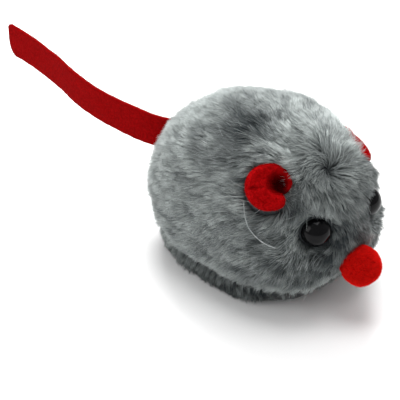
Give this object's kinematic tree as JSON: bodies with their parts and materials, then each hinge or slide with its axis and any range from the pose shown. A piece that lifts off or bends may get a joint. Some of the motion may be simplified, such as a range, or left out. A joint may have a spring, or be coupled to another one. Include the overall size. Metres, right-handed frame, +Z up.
{
  "type": "clockwork mouse",
  "caption": "Wind-up plush mouse: furry grey body on a wheeled spring-motor chassis, red felt ears, nose and tail, glossy eyes, side winding key.",
  "frame": {"origin": "on the floor under the middle of the toy's footprint, nose tip to tail tip and side to key", "axes": "+Z up, +Y from nose to tail, +X to the mouse's left, where the winding key is"},
  "size_m": [0.0585, 0.1602, 0.0564],
  "materials": {
    "plush": "long pile plush, mottled cool grey",
    "red_felt": "pressed felt",
    "eye_gloss": "polished",
    "polyester": "soft fibre",
    "black_abs": "moulded, fine grain",
    "wheel_plastic": "moulded",
    "tyre_rubber": "moulded rubber",
    "white_nylon": "moulded nylon",
    "key_plastic": "moulded",
    "brass": "turned",
    "plate_steel": "pressed sheet",
    "screw_steel": "plated",
    "spring_steel": "blued strip"
  },
  "bodies": {
    "chassis": {"chassis_base": "black_abs", "chassis_screws": "screw_steel", "motor_plate_left": "plate_steel", "motor_plate_right": "plate_steel", "motor_bar_front": "brass", "motor_bar_rear": "brass", "motor_pillars": "brass", "motor_screws": "screw_steel", "gear_pins": "screw_steel", "mainspring": "spring_steel", "key_eyelet": "key_plastic", "stuffing": "polyester", "fur_body": "plush", "fur_hem": "plush", "ear_left": "red_felt", "ear_right": "red_felt", "eye_left": "eye_gloss", "eye_right": "eye_gloss", "eye_washer_left": "white_nylon", "eye_washer_right": "white_nylon", "nose": "red_felt", "tail": "red_felt"},
    "winding": {"winding_arbor": "screw_steel", "ratchet_wheel": "brass", "winding_key": "key_plastic"},
    "great": {"great_gear": "white_nylon", "click_spring": "spring_steel"},
    "first_gear": {"compound_gear_1": "white_nylon"},
    "second_gear": {"compound_gear_2": "white_nylon"},
    "drive": {"drive_axle": "screw_steel", "drive_pinion": "white_nylon", "rear_wheel_left": "wheel_plastic", "rear_wheel_right": "wheel_plastic", "rear_tyre_left": "tyre_rubber", "rear_tyre_right": "tyre_rubber"},
    "front": {"front_axle": "screw_steel", "front_wheel_left": "wheel_plastic", "front_wheel_right": "wheel_plastic"}
  },
  "joints": [
    {"name": "drive_axle_spin", "type": "hinge", "parent": "chassis", "child": "drive", "pos_m": [-0.00175, -0.018, 0.008], "axis": [1, 0, 0], "continuous": true},
    {"name": "second_gear_spin", "type": "hinge", "parent": "chassis", "child": "second_gear", "pos_m": [-0.00175, -0.0245, 0.01666], "axis": [1, 0, 0], "continuous": true},
    {"name": "first_gear_spin", "type": "hinge", "parent": "chassis", "child": "first_gear", "pos_m": [-0.00175, -0.0345, 0.021], "axis": [1, 0, 0], "continuous": true},
    {"name": "great_gear_spin", "type": "hinge", "parent": "chassis", "child": "great", "pos_m": [-0.00175, -0.047, 0.019], "axis": [1, 0, 0], "continuous": true},
    {"name": "key_wind", "type": "hinge", "parent": "chassis", "child": "winding", "pos_m": [-0.00175, -0.047, 0.019], "axis": [1, 0, 0], "range_deg": [0, 1440], "deforming": ["mainspring"]},
    {"name": "front_axle_spin", "type": "hinge", "parent": "chassis", "child": "front", "pos_m": [-0.00175, -0.051, 0.007], "axis": [1, 0, 0], "continuous": true}
  ],
  "couplings": [
    {"joint": "second_gear_spin", "follows": "drive_axle_spin", "ratio": -0.5},
    {"joint": "first_gear_spin", "follows": "drive_axle_spin", "ratio": 0.25},
    {"joint": "great_gear_spin", "follows": "drive_axle_spin", "ratio": -0.1}
  ]
}
